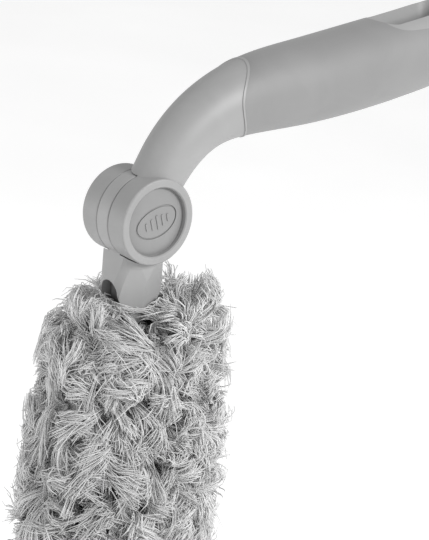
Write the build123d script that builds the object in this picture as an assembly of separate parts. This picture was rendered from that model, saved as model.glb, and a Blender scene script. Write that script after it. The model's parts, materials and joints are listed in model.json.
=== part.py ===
from build123d import *
import os
from math import cos, pi, radians, sin

# Hand duster with a locking swivel head. Millimetres, +Z up.
# At rest the head hangs along -Z, the handle runs up and out along +X, and the button faces -Y.
# Sizes below are measured from the pivot axis (Y), level with the middle of the neck.
# The head's pieces are drawn about their own middle and moved back by HEAD_Y.
# The finished pieces are moved so that the origin is the middle of the hanging slot.

# ---- pivot hub, from front (-Y) to back (+Y) ----
HUB_R = 18.0
HUB_EDGE = 0.3             # chamfer where two barrels meet
HUB_SHELL = 1.0            # depth to which other shapes run into a barrel
RING_FRONT = -10.8
RING_BACK = -1.3
RING_FILLET = 0.8
WASHER_T = 0.5
WASHER_MARGIN = 0.6
YOKE_BARREL_FRONT = -0.7
YOKE_BARREL_BACK = 6.4
CAP_FRONT = 6.6
CAP_BACK = 17.6
CAP_FILLET = 3.0
CAP_WALL = 2.4
RUNNING_GAP = 0.4          # between a barrel and the arm that sweeps round it
BEZEL_R_IN = 14.4
BEZEL_R_OUT = 15.9
BEZEL_T = 2.2
BEZEL_CHAMFER = 0.45
WEB_FRONT = -4.7
WEB_BACK = -3.8
BOSS_R = 4.0
BOSS_END = 9.5
SPIGOT_R = 15.4
SPIGOT_WALL = 1.8
SPIGOT_LENGTH = 1.5
SPIGOT_GAP = 0.08
SPIGOT_END_GAP = 0.2

# ---- lock gear ----
TEETH = 24
GEAR_ROOT_R = 11.3
GEAR_TIP_R = 12.5
ROOT_SHARE = 0.34          # half of a tooth's root and tip, as shares of one step
TIP_SHARE = 0.16
TOOTH_GAP = 0.15
GEAR_FRONT = -3.7
GEAR_BACK = 2.1
GEAR_POCKET = 2.4
GEAR_POCKET_R_IN = 4.9
GEAR_POCKET_R_OUT = 8.4
BORE_GAP = 0.1

# ---- button, which travels 2.8 ----
BUTTON_R = 14.1
DOME_EDGE = -8.5
DOME_RISE = 1.8
BUTTON_BACK = -7.7
FLANGE_R = 15.4
LEG_R = 8.6
LEG_COUNT = 3
LEG_THICK = 2.4
LEG_WIDE = 5.0
LEG_GAP = 0.4
OVAL_LONG = 21.0
OVAL_SHORT = 13.2
OVAL_TURN = 17.0
GROOVE = 0.8
GROOVE_DEPTH = 0.5
BAR_COUNT = 5
BAR_PITCH = 2.7
BAR_WIDE = 1.1
BAR_LONG = 6.4
BAR_STEP = 1.5             # each bar further from the middle is shorter by this
BAR_PROUD = 0.35

# ---- return spring and pivot screw ----
WIRE_R = 0.45
COIL_R = 5.6
COILS = 5
SEAT_T = 0.6
SEAT_R_IN = 5.0
SEAT_R_OUT = 7.6
CAP_FLOOR = 12.6
SCREW_R = 1.75
THREAD_R = 1.5
SCREW_GAP = 0.15
SCREW_SINK = 3.6
SCREW_HEAD_R = 3.6
SCREW_HEAD_T = 2.4
SCREW_HEAD_FILLET = 0.9
SCREW_WASHER_R = 4.6
SCREW_WASHER_T = 0.8
SCREW_TIP = -1.5
CROSS = (4.0, 2.4, 0.9)

# ---- handle: x, z, half height and half width of each section along it ----
HANDLE = [
    (1.5, 6.0, 11.8, 10.4),
    (10.5, 22.0, 11.8, 10.7),
    (25.0, 36.5, 13.1, 12.0),
    (45.0, 44.7, 15.8, 14.0),
    (78.0, 49.5, 18.3, 16.6),
    (120.0, 55.6, 19.2, 17.5),
    (150.0, 61.0, 19.0, 17.5),
    (172.0, 66.0, 17.0, 16.0),
    (184.0, 69.0, 11.5, 11.0),
    (188.0, 70.0, 5.0, 5.0),
]
GRIP_T = 2.2
LIP_PROUD = 0.35
LIP_WIDTH = 0.9
LIP_ZONE = (47.0, 45.0)    # x and z of the middle of the lip
LIP_ZONE_SIZE = (40.0, 60.0, 60.0)
# Seam between the bare neck and the grip, seen from the side, bottom to top.
NECK_SEAM = [(60, 22), (41, 37), (38, 47), (45, 60), (52, 75)]
# Seams along the grip's tongue beside the hanging slot.
TONGUE_TOP = [(116, 84), (126, 72.5), (146, 72.5), (164, 65)]
TONGUE_BOTTOM = [(164, 65), (150, 45), (134, 40), (124, 32)]
SLOT_X = 146.0
SLOT_Z = 59.7
SLOT_TILT = 9.5
SLOT_LENGTH = 34.0
SLOT_WIDTH = 12.0
WAIST_HALF = 4.0
MOUTH_LENGTH = 52.0
MOUTH_WIDTH = 21.0
MOUTH_RISE = 24.0

# ---- yoke ----
HEAD_Y = 3.2
YOKE_HALF_X = 11.9
YOKE_HALF_Y = 10.2
YOKE_CORNER = 8.2
YOKE_TOP = -9.0
YOKE_TOP_HALF_X = 9.6
LEAF_TOP = -27.0
LEAF_SIDE = [(10.8, -33.0), (8.8, -37.0), (3.8, -43.0)]
LEAF_TIP = -45.0
ARCH_HALF = 5.3
ARCH_TOP = -26.8
RIDGE_TOP = -20.0
RIDGE_TOP_Y = 11.2
RIDGE_TIP_Y = 7.0
FACET_SLOPE = 0.28
CLEAR = 60.0               # longer than anything that it cuts

# ---- duster head ----
FRAME_HALF_X = 20.0
FRAME_HALF_Y = 9.0
FRAME_TOP = -48.0
FRAME_TIP = -186.0
FRAME_TIP_FILLET = 4.0
STEM_HALF_X = 7.5
STEM_HALF_Y = 5.0
STEM_CORNER = 2.0
STEM_TOP = -30.0
SHELL_T = 2.2
RIB_TOP = -56.0
RIB_TIP = -178.0
RIB_Y = 7.1
RIB_MARGIN = 1.0
STRIP_WIDTH = 12.0
STRIP_T = 1.2
STRIP_TOP = -32.0
STRIP_TIP = -178.0
FRAME_SCREWS = [-62.0, -96.0, -130.0, -164.0]
FRAME_SCREW_X = 11.5       # to one side and the other in turn
POST_R = 3.2
POST_MARGIN = 1.0
STEM_SCREW_Z = -39.0
STEM_SCREW_X = 3.2
SMALL_SCREW_R = 1.25
SMALL_SCREW_TIP = -6.3
SMALL_HEAD_R = 2.4
SMALL_HEAD_T = 1.3
SMALL_HEAD_GAP = 0.1
SMALL_SLOT = (3.2, 0.9, 0.6)
HEAD_SEAT = 7.4
YOKE_SCREW_SEAT = 6.2
HOLE_GAP = 0.2             # beyond a screw's tip

# ---- sleeve ----
LINING_GAP = 0.6
LINING_END_GAP = 1.5
BACKING_HALF_X = 28.0
BACKING_HALF_Y = 20.0
# Backing sections: z, half width along X, half width along Y.
BACKING = [
    (-195.0, 12.0, 7.0),
    (-191.0, 22.0, 14.0),
    (-178.0, 27.0, 19.0),
    (-120.0, BACKING_HALF_X, BACKING_HALF_Y),
    (-64.6, 27.0, 18.5),
    (-56.6, 24.6, 13.4),
]
CUFF_TOP = -48.6
CUFF_BOTTOM = -56.6
CUFF_WALL = 3.4
CUFF_FILLET = 1.2
ELASTIC_T = 1.2
ELASTIC_WIDTH = 3.5
ELASTIC_BOTTOM = -54.1
PILE_GAP = 0.4
PILE_CORE_GAP = 1.6
PILE_MOUTH_GAP = 1.2
PILE_BOTTOM_GAP = 1.0
PILE_X = 3.0               # the pile is fuller on the handle's side
# Pile envelope: z, half width along X, half width along Y.
PILE = [
    (-27.0, 27.0, 24.0),
    (-32.0, 34.0, 29.0),
    (-45.0, 39.5, 34.0),
    (-77.0, 44.5, 38.0),
    (-119.0, 47.0, 40.0),
    (-165.0, 46.5, 39.5),
    (-195.0, 41.0, 34.0),
    (-209.0, 28.0, 22.0),
    (-214.0, 12.0, 9.0),
]


def barrel(radius, front, back, x=0.0, z=0.0):
    """Solid cylinder along Y."""
    return Pos(x, (front + back) / 2, z) * Rot(90, 0, 0) * Cylinder(radius, back - front)


def rims(solid):
    """Round edges of a barrel, from front to back."""
    return solid.edges().filter_by(GeomType.CIRCLE).sort_by(Axis.Y)


def ring(outer, inner, front, back):
    """Hollow cylinder along Y."""
    return barrel(outer, front, back) - barrel(inner, front - 1, back + 1)


def along_y(face, front, back):
    """Extrude an outline drawn in X and Z from front to back."""
    turned = Pos(0, back, 0) * Rot(90, 0, 0) * face
    return extrude(turned, back - front, dir=(0, -1, 0))


def tooth_ring(front, back, grow):
    """Solid gear along Y, its teeth grown by the given amount on every side."""
    step = 2 * pi / TEETH
    root = GEAR_ROOT_R + grow
    tip = GEAR_TIP_R + grow
    root_turn = step * ROOT_SHARE + grow / GEAR_ROOT_R
    tip_turn = step * TIP_SHARE + grow / GEAR_TIP_R
    points = []
    for i in range(TEETH):
        for radius, turn in ((root, -root_turn), (tip, -tip_turn), (tip, tip_turn), (root, root_turn)):
            angle = i * step + turn
            points.append((radius * cos(angle), radius * sin(angle)))
    return along_y(make_face(Polyline(*points, close=True)), front, back)


# ---------------------------------------------------------------- handle

def handle_form(inset):
    """Smooth body through the handle's sections, each smaller by the inset."""
    sections = []
    for i, (x, z, half_height, half_width) in enumerate(HANDLE):
        before = HANDLE[max(i - 1, 0)]
        after = HANDLE[min(i + 1, len(HANDLE) - 1)]
        run = (after[0] - before[0], after[1] - before[1])
        plane = Plane(origin=(x, 0, z), x_dir=(0, 1, 0), z_dir=(run[0], 0, run[1]))
        sections.append(plane * Ellipse(half_width - inset, half_height - inset))
    return loft(sections)


def grip_region(shift=0.0):
    """Side view of the grip, from the neck seam to the end of its tongue."""
    neck = [(x + shift, z) for x, z in NECK_SEAM]
    seam = Spline(*neck)
    top = Spline(*TONGUE_TOP)
    bottom = Spline(*TONGUE_BOTTOM)
    above = Line(neck[-1], TONGUE_TOP[0])
    below = Line(TONGUE_BOTTOM[-1], neck[0])
    return along_y(make_face(Curve() + [seam, above, top, bottom, below]), -CLEAR / 2, CLEAR / 2)


def slot_plane(rise):
    """Plane across the hanging slot at a height above its middle."""
    tilt = radians(SLOT_TILT)
    middle = (SLOT_X - rise * sin(tilt), 0, SLOT_Z + rise * cos(tilt))
    return Plane(origin=middle, x_dir=(cos(tilt), 0, sin(tilt)), z_dir=(-sin(tilt), 0, cos(tilt)))


def hanging_slot():
    """Through slot whose mouths flare out above and below."""
    waist = SlotOverall(SLOT_LENGTH, SLOT_WIDTH)
    mouth = SlotOverall(MOUTH_LENGTH, MOUTH_WIDTH)
    upper = loft([slot_plane(WAIST_HALF) * waist, slot_plane(MOUTH_RISE) * mouth])
    lower = loft([slot_plane(-MOUTH_RISE) * mouth, slot_plane(-WAIST_HALF) * waist])
    return upper + lower + extrude(slot_plane(-WAIST_HALF) * waist, 2 * WAIST_HALF)


def swept_clearance():
    """Room behind the front ring in which the other barrels sit and turn."""
    return barrel(HUB_R + RUNNING_GAP, RING_BACK, CAP_BACK + 5)


def grip_lip(region):
    """Thin raised lip of the neck along the edge of the grip."""
    band = grip_region(-LIP_WIDTH) - region
    zone = Pos(LIP_ZONE[0], 0, LIP_ZONE[1]) * Box(*LIP_ZONE_SIZE)
    return handle_form(-LIP_PROUD) & band & zone


def front_ring():
    front = barrel(HUB_R, RING_FRONT, RING_BACK)
    return fillet(rims(front)[0], RING_FILLET)


def make_handle_core(full, inner, region):
    """Neck, front ring and the core under the grip, in one moulding."""
    core = (full - region) + inner + grip_lip(region)
    core = core - hanging_slot() - swept_clearance()
    core = core - barrel(HUB_R - HUB_SHELL, RING_FRONT - 5, RING_BACK + 5)
    core = core + front_ring()
    core = core - barrel(BEZEL_R_OUT, RING_FRONT - 1, WEB_FRONT)
    core = core - tooth_ring(WEB_BACK, RING_BACK + 1, TOOTH_GAP)
    core = core + barrel(BOSS_R, WEB_FRONT, BOSS_END)
    core = core - barrel(THREAD_R, SCREW_TIP - HOLE_GAP, BOSS_END + 1)
    for i in range(LEG_COUNT):
        core = core - button_leg(i, WEB_FRONT - 1, WEB_BACK + 1, LEG_GAP)
    return core


def make_soft_grip(full, inner, region):
    return (full & region) - inner - hanging_slot()


# ---------------------------------------------------------------- hub

def make_bezel():
    bezel = ring(BEZEL_R_OUT, BEZEL_R_IN, RING_FRONT, RING_FRONT + BEZEL_T)
    inner_rim = rims(bezel)[:2].sort_by(SortBy.RADIUS)[0]
    return chamfer(inner_rim, BEZEL_CHAMFER)


def button_leg(index, front, back, grow):
    """One of the legs that reach through the web to the lock gear."""
    leg = Box(LEG_THICK + 2 * grow, back - front, LEG_WIDE + 2 * grow)
    return Rot(0, 360.0 / LEG_COUNT * index, 0) * Pos(LEG_R, (front + back) / 2, 0) * leg


def button_dome(proud):
    """Shallow dome of the button's face, moved forward by the given amount."""
    ball_r = (BUTTON_R**2 + DOME_RISE**2) / (2 * DOME_RISE)
    ball = Pos(0, DOME_EDGE - DOME_RISE - proud + ball_r, 0) * Sphere(ball_r)
    return barrel(BUTTON_R, DOME_EDGE - DOME_RISE - proud, BUTTON_BACK) & ball


def oval_groove():
    """Outline of the groove round the finger bars."""
    outside = Ellipse(OVAL_LONG / 2, OVAL_SHORT / 2)
    inside = Ellipse(OVAL_LONG / 2 - GROOVE, OVAL_SHORT / 2 - GROOVE)
    return Rot(0, 0, OVAL_TURN) * (outside - inside)


def make_push_button():
    button = button_dome(0) + barrel(FLANGE_R, DOME_EDGE, BUTTON_BACK)
    groove = along_y(oval_groove(), DOME_EDGE - CLEAR / 2, BUTTON_BACK)
    button = button - (groove - button_dome(-GROOVE_DEPTH))
    for i in range(BAR_COUNT):
        offset = i - (BAR_COUNT - 1) / 2
        long = BAR_LONG - BAR_STEP * abs(offset)
        bar = Rot(0, 0, OVAL_TURN) * Pos(offset * BAR_PITCH, 0) * SlotOverall(long, BAR_WIDE, rotation=90)
        button = button + (along_y(bar, DOME_EDGE - CLEAR / 2, BUTTON_BACK) & button_dome(BAR_PROUD))
    for i in range(LEG_COUNT):
        button = button + button_leg(i, BUTTON_BACK - HOLE_GAP, GEAR_FRONT, 0)
    return button


def make_lock_gear():
    gear = tooth_ring(GEAR_FRONT, GEAR_BACK, 0)
    gear = gear - barrel(BOSS_R + BORE_GAP, GEAR_FRONT - 1, GEAR_BACK + 1)
    return gear - ring(GEAR_POCKET_R_OUT, GEAR_POCKET_R_IN, GEAR_FRONT + GEAR_POCKET, GEAR_BACK + 1)


def make_spring_seat():
    front = GEAR_FRONT + GEAR_POCKET
    return ring(SEAT_R_OUT, SEAT_R_IN, front, front + SEAT_T)


def make_return_spring():
    """Helical compression spring between its seat and the cap's floor."""
    front = GEAR_FRONT + GEAR_POCKET + SEAT_T + WIRE_R
    length = CAP_FLOOR - WIRE_R - front
    path = Helix(pitch=length / COILS, height=length, radius=COIL_R)
    wire = sweep(Plane(origin=path @ 0, z_dir=path % 0) * Circle(WIRE_R), path)
    return Pos(0, front, 0) * Rot(-90, 0, 0) * wire


def make_thrust_washer():
    return ring(HUB_R - WASHER_MARGIN, GEAR_TIP_R + WASHER_MARGIN, RING_BACK, RING_BACK + WASHER_T)


def make_rear_cap():
    cap = barrel(HUB_R, CAP_FRONT, CAP_BACK)
    cap = fillet(rims(cap)[-1], CAP_FILLET)
    cap = chamfer(rims(cap)[0], HUB_EDGE)
    cap = cap - barrel(HUB_R - CAP_WALL, CAP_FRONT - 1, CAP_FLOOR)
    spigot_in = SPIGOT_R - SPIGOT_WALL
    cap = cap + ring(SPIGOT_R, spigot_in, CAP_FRONT - SPIGOT_LENGTH, CAP_FRONT + SPIGOT_LENGTH)
    cap = cap + ring(HUB_R - HUB_SHELL, spigot_in, CAP_FRONT, CAP_FRONT + SPIGOT_LENGTH)
    cap = cap + barrel(BOSS_R, BOSS_END, CAP_FLOOR + 1)
    cap = cap - barrel(SCREW_R + SCREW_GAP, BOSS_END - 1, CAP_BACK + 1)
    return cap - barrel(SCREW_WASHER_R + SCREW_GAP, CAP_BACK - SCREW_SINK, CAP_BACK + 1)


def make_screw_washer():
    back = CAP_BACK - SCREW_SINK
    return ring(SCREW_WASHER_R, SCREW_R + BORE_GAP, back, back + SCREW_WASHER_T)


def make_pivot_screw():
    seat = CAP_BACK - SCREW_SINK + SCREW_WASHER_T
    screw = barrel(THREAD_R, SCREW_TIP, BOSS_END) + barrel(SCREW_R, BOSS_END, seat)
    head = barrel(SCREW_HEAD_R, seat, seat + SCREW_HEAD_T)
    head = fillet(rims(head)[-1], SCREW_HEAD_FILLET)
    for turn in (0, 90):
        head = head - Rot(0, turn, 0) * Pos(0, seat + SCREW_HEAD_T, 0) * Box(*CROSS)
    return screw + head


# ---------------------------------------------------------------- yoke

def leaf_outline():
    """Front view of the yoke below the hub: sides that widen downward, then a leaf's tip."""
    right = Spline((YOKE_HALF_X, LEAF_TOP), *LEAF_SIDE, (0.0, LEAF_TIP))
    left = mirror(right, Plane.YZ)
    top = Polyline(
        (YOKE_HALF_X, LEAF_TOP), (YOKE_TOP_HALF_X, YOKE_TOP), (-YOKE_TOP_HALF_X, YOKE_TOP), (-YOKE_HALF_X, LEAF_TOP)
    )
    return make_face(Curve() + [right, left, top])


def ridged_prism():
    """Room that gives each prong two flat facets meeting in a ridge, closer together at the tip."""
    far = CLEAR / 3
    ends = []
    for z, ridge in ((RIDGE_TOP, RIDGE_TOP_Y), (LEAF_TIP - 1, RIDGE_TIP_Y)):
        side = ridge - FACET_SLOPE * far
        outline = Polyline((0, ridge), (far, side), (far, -side), (0, -ridge), (-far, -side), (-far, side), close=True)
        ends.append(Pos(0, 0, z) * make_face(outline))
    above = Pos(0, 0, RIDGE_TOP + CLEAR / 2) * Box(CLEAR, CLEAR, CLEAR)
    return loft(ends, ruled=True) + above


def arch():
    """Side opening between the two prongs."""
    spring_line = ARCH_TOP - ARCH_HALF
    height = spring_line - LEAF_TIP + ARCH_HALF
    opening = Pos(0, spring_line - height / 2) * Rectangle(2 * ARCH_HALF, height)
    opening = opening + Pos(0, spring_line) * Circle(ARCH_HALF)
    side = Plane(origin=(-CLEAR / 2, 0, 0), x_dir=(0, 1, 0), z_dir=(1, 0, 0)) * opening
    return extrude(side, CLEAR)


def yoke_prongs():
    """The part of the yoke below its barrel, about the head's own middle."""
    height = YOKE_TOP - LEAF_TIP + 2
    section = RectangleRounded(2 * YOKE_HALF_X, 2 * YOKE_HALF_Y, YOKE_CORNER)
    block = Pos(0, 0, YOKE_TOP - height) * extrude(section, height)
    block = block & along_y(leaf_outline(), -CLEAR / 2, CLEAR / 2)
    block = (block & ridged_prism()) - arch()
    for side in (1, -1):
        x = side * STEM_SCREW_X
        block = block - barrel(SMALL_SCREW_R, SMALL_SCREW_TIP - HOLE_GAP, CLEAR / 2, x, STEM_SCREW_Z)
        block = block - barrel(SMALL_HEAD_R + SMALL_HEAD_GAP, YOKE_SCREW_SEAT, CLEAR / 2, x, STEM_SCREW_Z)
    return block


def make_yoke():
    block = Pos(0, HEAD_Y, 0) * yoke_prongs()
    block = block - barrel(HUB_R + RUNNING_GAP, -CLEAR / 2, YOKE_BARREL_FRONT)
    block = block - barrel(HUB_R + RUNNING_GAP, YOKE_BARREL_BACK, CLEAR / 2)
    block = block - barrel(HUB_R - HUB_SHELL, -CLEAR / 2, CLEAR / 2)
    hub = barrel(HUB_R, YOKE_BARREL_FRONT, YOKE_BARREL_BACK)
    yoke = block + chamfer(rims(hub), HUB_EDGE)
    counterbore = YOKE_BARREL_BACK - SPIGOT_LENGTH - SPIGOT_END_GAP
    yoke = yoke - barrel(SPIGOT_R + SPIGOT_GAP, counterbore, YOKE_BARREL_BACK + 1)
    return yoke - tooth_ring(YOKE_BARREL_FRONT - 1, counterbore + 1, TOOTH_GAP)


def small_screw(x, z, seat):
    head = barrel(SMALL_HEAD_R, seat, seat + SMALL_HEAD_T, x, z)
    shank = barrel(SMALL_SCREW_R, SMALL_SCREW_TIP, seat, x, z)
    return head + shank - Pos(x, seat + SMALL_HEAD_T, z) * Box(*SMALL_SLOT)


def make_yoke_screws():
    screws = [small_screw(side * STEM_SCREW_X, STEM_SCREW_Z, YOKE_SCREW_SEAT) for side in (1, -1)]
    return Compound(children=screws)


# ---------------------------------------------------------------- frame

def frame_screw_places():
    """X and Z of each screw that joins the frame's halves."""
    return [(FRAME_SCREW_X if i % 2 else -FRAME_SCREW_X, z) for i, z in enumerate(FRAME_SCREWS)]


def frame_outside():
    """Both halves of the duster head's frame together."""
    wide = RectangleRounded(2 * FRAME_HALF_X, 2 * FRAME_HALF_Y, FRAME_HALF_Y - 0.2)
    stem = RectangleRounded(2 * STEM_HALF_X, 2 * STEM_HALF_Y, STEM_CORNER)
    body = Pos(0, 0, FRAME_TIP) * extrude(wide, FRAME_TOP - FRAME_TIP)
    body = fillet(body.faces().sort_by(Axis.Z)[0].edges(), FRAME_TIP_FILLET)
    return body + Pos(0, 0, FRAME_TOP - 1) * extrude(stem, STEM_TOP - FRAME_TOP + 1)


def frame_inside():
    """Hollow of the frame."""
    half_y = FRAME_HALF_Y - SHELL_T
    section = RectangleRounded(2 * (FRAME_HALF_X - SHELL_T), 2 * half_y, half_y - 0.2)
    return Pos(0, 0, FRAME_TIP + SHELL_T) * extrude(section, FRAME_TOP - FRAME_TIP - 2 * SHELL_T)


def strip_form():
    length = STRIP_TOP - STRIP_TIP
    return Pos(0, 0, (STRIP_TOP + STRIP_TIP) / 2) * Box(STRIP_WIDTH, STRIP_T, length)


def make_frame_half(face):
    """face is -1 for the front half and 1 for the rear one, which takes the screw heads."""
    height = STEM_TOP - FRAME_TIP
    half_space = Pos(0, face * CLEAR / 2, FRAME_TIP + height / 2) * Box(CLEAR, CLEAR, height + 2)
    body = frame_outside() - frame_inside()
    reach = FRAME_HALF_Y - POST_MARGIN
    for x, z in frame_screw_places():
        body = body + barrel(POST_R, -reach, reach, x, z)
    rib = Box(STRIP_WIDTH + 2 * RIB_MARGIN, 2 * RIB_Y, RIB_TOP - RIB_TIP)
    body = body + Pos(0, 0, (RIB_TOP + RIB_TIP) / 2) * rib
    half = (body & half_space) - strip_form()
    for x, z in frame_screw_places():
        half = half - barrel(SMALL_SCREW_R, SMALL_SCREW_TIP - HOLE_GAP, CLEAR, x, z)
        half = half - barrel(SMALL_HEAD_R + SMALL_HEAD_GAP, HEAD_SEAT, CLEAR, x, z)
    for side in (1, -1):
        half = half - barrel(SMALL_SCREW_R, -CLEAR, CLEAR, side * STEM_SCREW_X, STEM_SCREW_Z)
    return half


def make_frame_screws():
    return Compound(children=[small_screw(x, z, HEAD_SEAT) for x, z in frame_screw_places()])


def make_frame_strip():
    strip = strip_form()
    for side in (1, -1):
        strip = strip - barrel(SMALL_SCREW_R, -STRIP_T, STRIP_T, side * STEM_SCREW_X, STEM_SCREW_Z)
    return strip


# ---------------------------------------------------------------- sleeve

def oval_prism(reach, bottom, top):
    """Upright prism of the frame's long rounded section, larger by the reach."""
    half_x = FRAME_HALF_X + reach
    half_y = FRAME_HALF_Y + reach
    return Pos(0, 0, bottom) * extrude(RectangleRounded(2 * half_x, 2 * half_y, half_y - 0.2), top - bottom)


def ellipse_loft(sections, x=0.0):
    """Smooth upright body through ellipses."""
    return loft([Pos(x, 0, z) * Ellipse(half_x, half_y) for z, half_x, half_y in sections])


def lining_room():
    """Room for the frame inside the sleeve, open at the top."""
    return oval_prism(LINING_GAP, FRAME_TIP - LINING_END_GAP, 0)


def make_sleeve_backing():
    return ellipse_loft(BACKING) - lining_room()


def make_cuff():
    cuff = oval_prism(LINING_GAP + CUFF_WALL, CUFF_BOTTOM, CUFF_TOP)
    cuff = fillet(cuff.faces().sort_by(Axis.Z)[-1].edges(), CUFF_FILLET)
    return cuff - lining_room() - make_elastic()


def make_elastic():
    """Elastic band threaded round the inside of the cuff."""
    middle = LINING_GAP + CUFF_WALL / 2
    top = ELASTIC_BOTTOM + ELASTIC_WIDTH
    loop = oval_prism(middle + ELASTIC_T / 2, ELASTIC_BOTTOM, top)
    return loop - oval_prism(middle - ELASTIC_T / 2, ELASTIC_BOTTOM - 1, top + 1)


def make_pile():
    """Outer envelope of the pile, hollow round the yoke, the cuff and the backing."""
    half_x = FRAME_HALF_X + LINING_GAP
    half_y = YOKE_HALF_Y + PILE_MOUTH_GAP
    mouth = Pos(0, 0, CUFF_TOP) * extrude(RectangleRounded(2 * half_x, 2 * half_y, half_y - 0.2), -CUFF_TOP)
    cuff_room = oval_prism(LINING_GAP + CUFF_WALL + PILE_GAP, CUFF_BOTTOM, CUFF_TOP + PILE_GAP)
    half_x = BACKING_HALF_X + PILE_CORE_GAP
    half_y = BACKING_HALF_Y + PILE_CORE_GAP
    bottom = BACKING[0][0] - PILE_BOTTOM_GAP
    height = CUFF_BOTTOM - bottom + PILE_GAP
    core = Pos(0, 0, bottom) * extrude(RectangleRounded(2 * half_x, 2 * half_y, half_y - 0.2), height)
    return ellipse_loft(PILE, PILE_X) - mouth - cuff_room - core


# ---------------------------------------------------------------- the whole duster

def handle_pieces():
    full = handle_form(0)
    inner = handle_form(GRIP_T)
    region = grip_region()
    return {
        "handle_core": make_handle_core(full, inner, region),
        "soft_grip": make_soft_grip(full, inner, region),
        "button_bezel": make_bezel(),
        "push_button": make_push_button(),
        "lock_gear": make_lock_gear(),
        "spring_seat": make_spring_seat(),
        "return_spring": make_return_spring(),
        "thrust_washer": make_thrust_washer(),
        "rear_cap": make_rear_cap(),
        "screw_washer": make_screw_washer(),
        "pivot_screw": make_pivot_screw(),
        "yoke": make_yoke(),
    }


def head_pieces():
    return {
        "yoke_screws": make_yoke_screws(),
        "frame_front": make_frame_half(-1),
        "frame_rear": make_frame_half(1),
        "frame_strip": make_frame_strip(),
        "frame_screws": make_frame_screws(),
        "sleeve_backing": make_sleeve_backing(),
        "sleeve_cuff": make_cuff(),
        "cuff_elastic": make_elastic(),
        "sleeve_pile": make_pile(),
    }


def main():
    os.makedirs("parts", exist_ok=True)
    to_origin = Pos(-SLOT_X, 0, -SLOT_Z)
    for name, shape in handle_pieces().items():
        export_step(to_origin * shape, f"parts/{name}.step")
    for name, shape in head_pieces().items():
        export_step(to_origin * Pos(0, HEAD_Y, 0) * shape, f"parts/{name}.step")


main()
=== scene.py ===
import json
import math

import bpy
import numpy as np
from mathutils import Matrix, Vector


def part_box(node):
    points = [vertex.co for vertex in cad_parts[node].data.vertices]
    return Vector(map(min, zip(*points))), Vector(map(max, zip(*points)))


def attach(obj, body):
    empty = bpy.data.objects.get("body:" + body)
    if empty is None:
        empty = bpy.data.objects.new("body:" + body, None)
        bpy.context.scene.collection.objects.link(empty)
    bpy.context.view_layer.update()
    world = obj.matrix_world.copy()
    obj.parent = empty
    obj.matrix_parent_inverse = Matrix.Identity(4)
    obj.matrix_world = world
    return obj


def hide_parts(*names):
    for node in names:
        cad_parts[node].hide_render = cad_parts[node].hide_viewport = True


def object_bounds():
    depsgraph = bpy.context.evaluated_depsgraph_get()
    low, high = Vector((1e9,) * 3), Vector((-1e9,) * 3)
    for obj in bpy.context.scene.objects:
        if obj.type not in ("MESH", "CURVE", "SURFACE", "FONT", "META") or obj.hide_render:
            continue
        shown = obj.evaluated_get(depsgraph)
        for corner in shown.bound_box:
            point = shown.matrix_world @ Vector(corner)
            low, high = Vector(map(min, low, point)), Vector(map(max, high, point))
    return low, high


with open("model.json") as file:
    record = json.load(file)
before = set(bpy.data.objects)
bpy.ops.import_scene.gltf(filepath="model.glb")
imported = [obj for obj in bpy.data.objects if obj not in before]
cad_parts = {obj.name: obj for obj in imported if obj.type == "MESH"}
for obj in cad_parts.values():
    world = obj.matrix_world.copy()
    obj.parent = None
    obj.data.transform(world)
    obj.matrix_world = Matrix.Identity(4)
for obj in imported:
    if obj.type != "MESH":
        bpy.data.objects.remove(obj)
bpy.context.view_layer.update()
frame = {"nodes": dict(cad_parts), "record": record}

MM = 0.001
SEED = 20417
ALL_ROUND = 2 * math.pi
TINY = 1e-9

# ---- places read from the frame, in metres ----
BUTTON_LOW, BUTTON_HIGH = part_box("push_button")
PIVOT = Vector(((BUTTON_LOW.x + BUTTON_HIGH.x) / 2, 0.0, (BUTTON_LOW.z + BUTTON_HIGH.z) / 2))
YOKE_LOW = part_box("yoke")[0]
FRAME_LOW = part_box("frame_front")[0]
FRAME_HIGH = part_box("frame_rear")[1]
PILE_LOW, PILE_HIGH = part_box("sleeve_pile")
BACKING_LOW, BACKING_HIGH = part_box("sleeve_backing")
CUFF_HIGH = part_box("sleeve_cuff")[1]

# ---- camera, floor and light: angles in degrees, places in metres, the lens in millimetres ----
AZIMUTH = -42.3
ELEVATION = 18.0
ROLL = 5.6
DISTANCE = 0.700
LENS = 115.7
SENSOR = 36.0
CLIP_START = 0.01
AIM_RIGHT = 0.02935        # how far the camera stands from the hub's line, to its own right and up
AIM_UP = -0.02197
FLOOR_HALF = 12.0
FLOOR_GAP = 1 * MM         # below the sleeve when it is pulled right off
FLOOR_GLOW = 0.34
WORLD_STRENGTH = 0.66

# ---- materials: where a tint reaches its dark and its light tone ----
TINT_LOW = 0.32
TINT_HIGH = 0.68

# ---- pile: where the tufts are. A jitter is the spread of a random shift. ----
ROW_STEP = 6.2 * MM
TUFT_STEP = 6.3 * MM
FIRST_ROW = 0.4            # of a row step below the mouth
LAST_ROW = 1 * MM          # above the bag's tip
FEWEST_IN_ROW = 4
ROW_STAGGER = 0.5          # of a tuft step, in every other row
TIP_PART = 0.6             # of the dome, where the rows are closer together
TIP_STEP = 0.6             # of a row step
TURN_JITTER = 0.07         # radians
HEIGHT_JITTER = 1.5 * MM
UNDERCOAT_TUFTS = 150
UNDERCOAT_LOW = 4 * MM     # above the bag's tip
UNDERCOAT_HIGH = 3 * MM    # below the mouth
COLLAR_TUFTS = 24          # in each of two rings
COLLAR_STAGGER = 0.25      # of a tuft step, in the inner ring
COLLAR_TURN_JITTER = 0.05  # radians
COLLAR_HEIGHT_JITTER = 0.4 * MM
COLLAR_WIDTH = 0.92        # of the bag's width at the mouth
INNER_WIDTH = 0.90         # of the outer ring's width
MOUTH_BAND = 12 * MM       # below the mouth, where the tufts turn upwards

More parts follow.
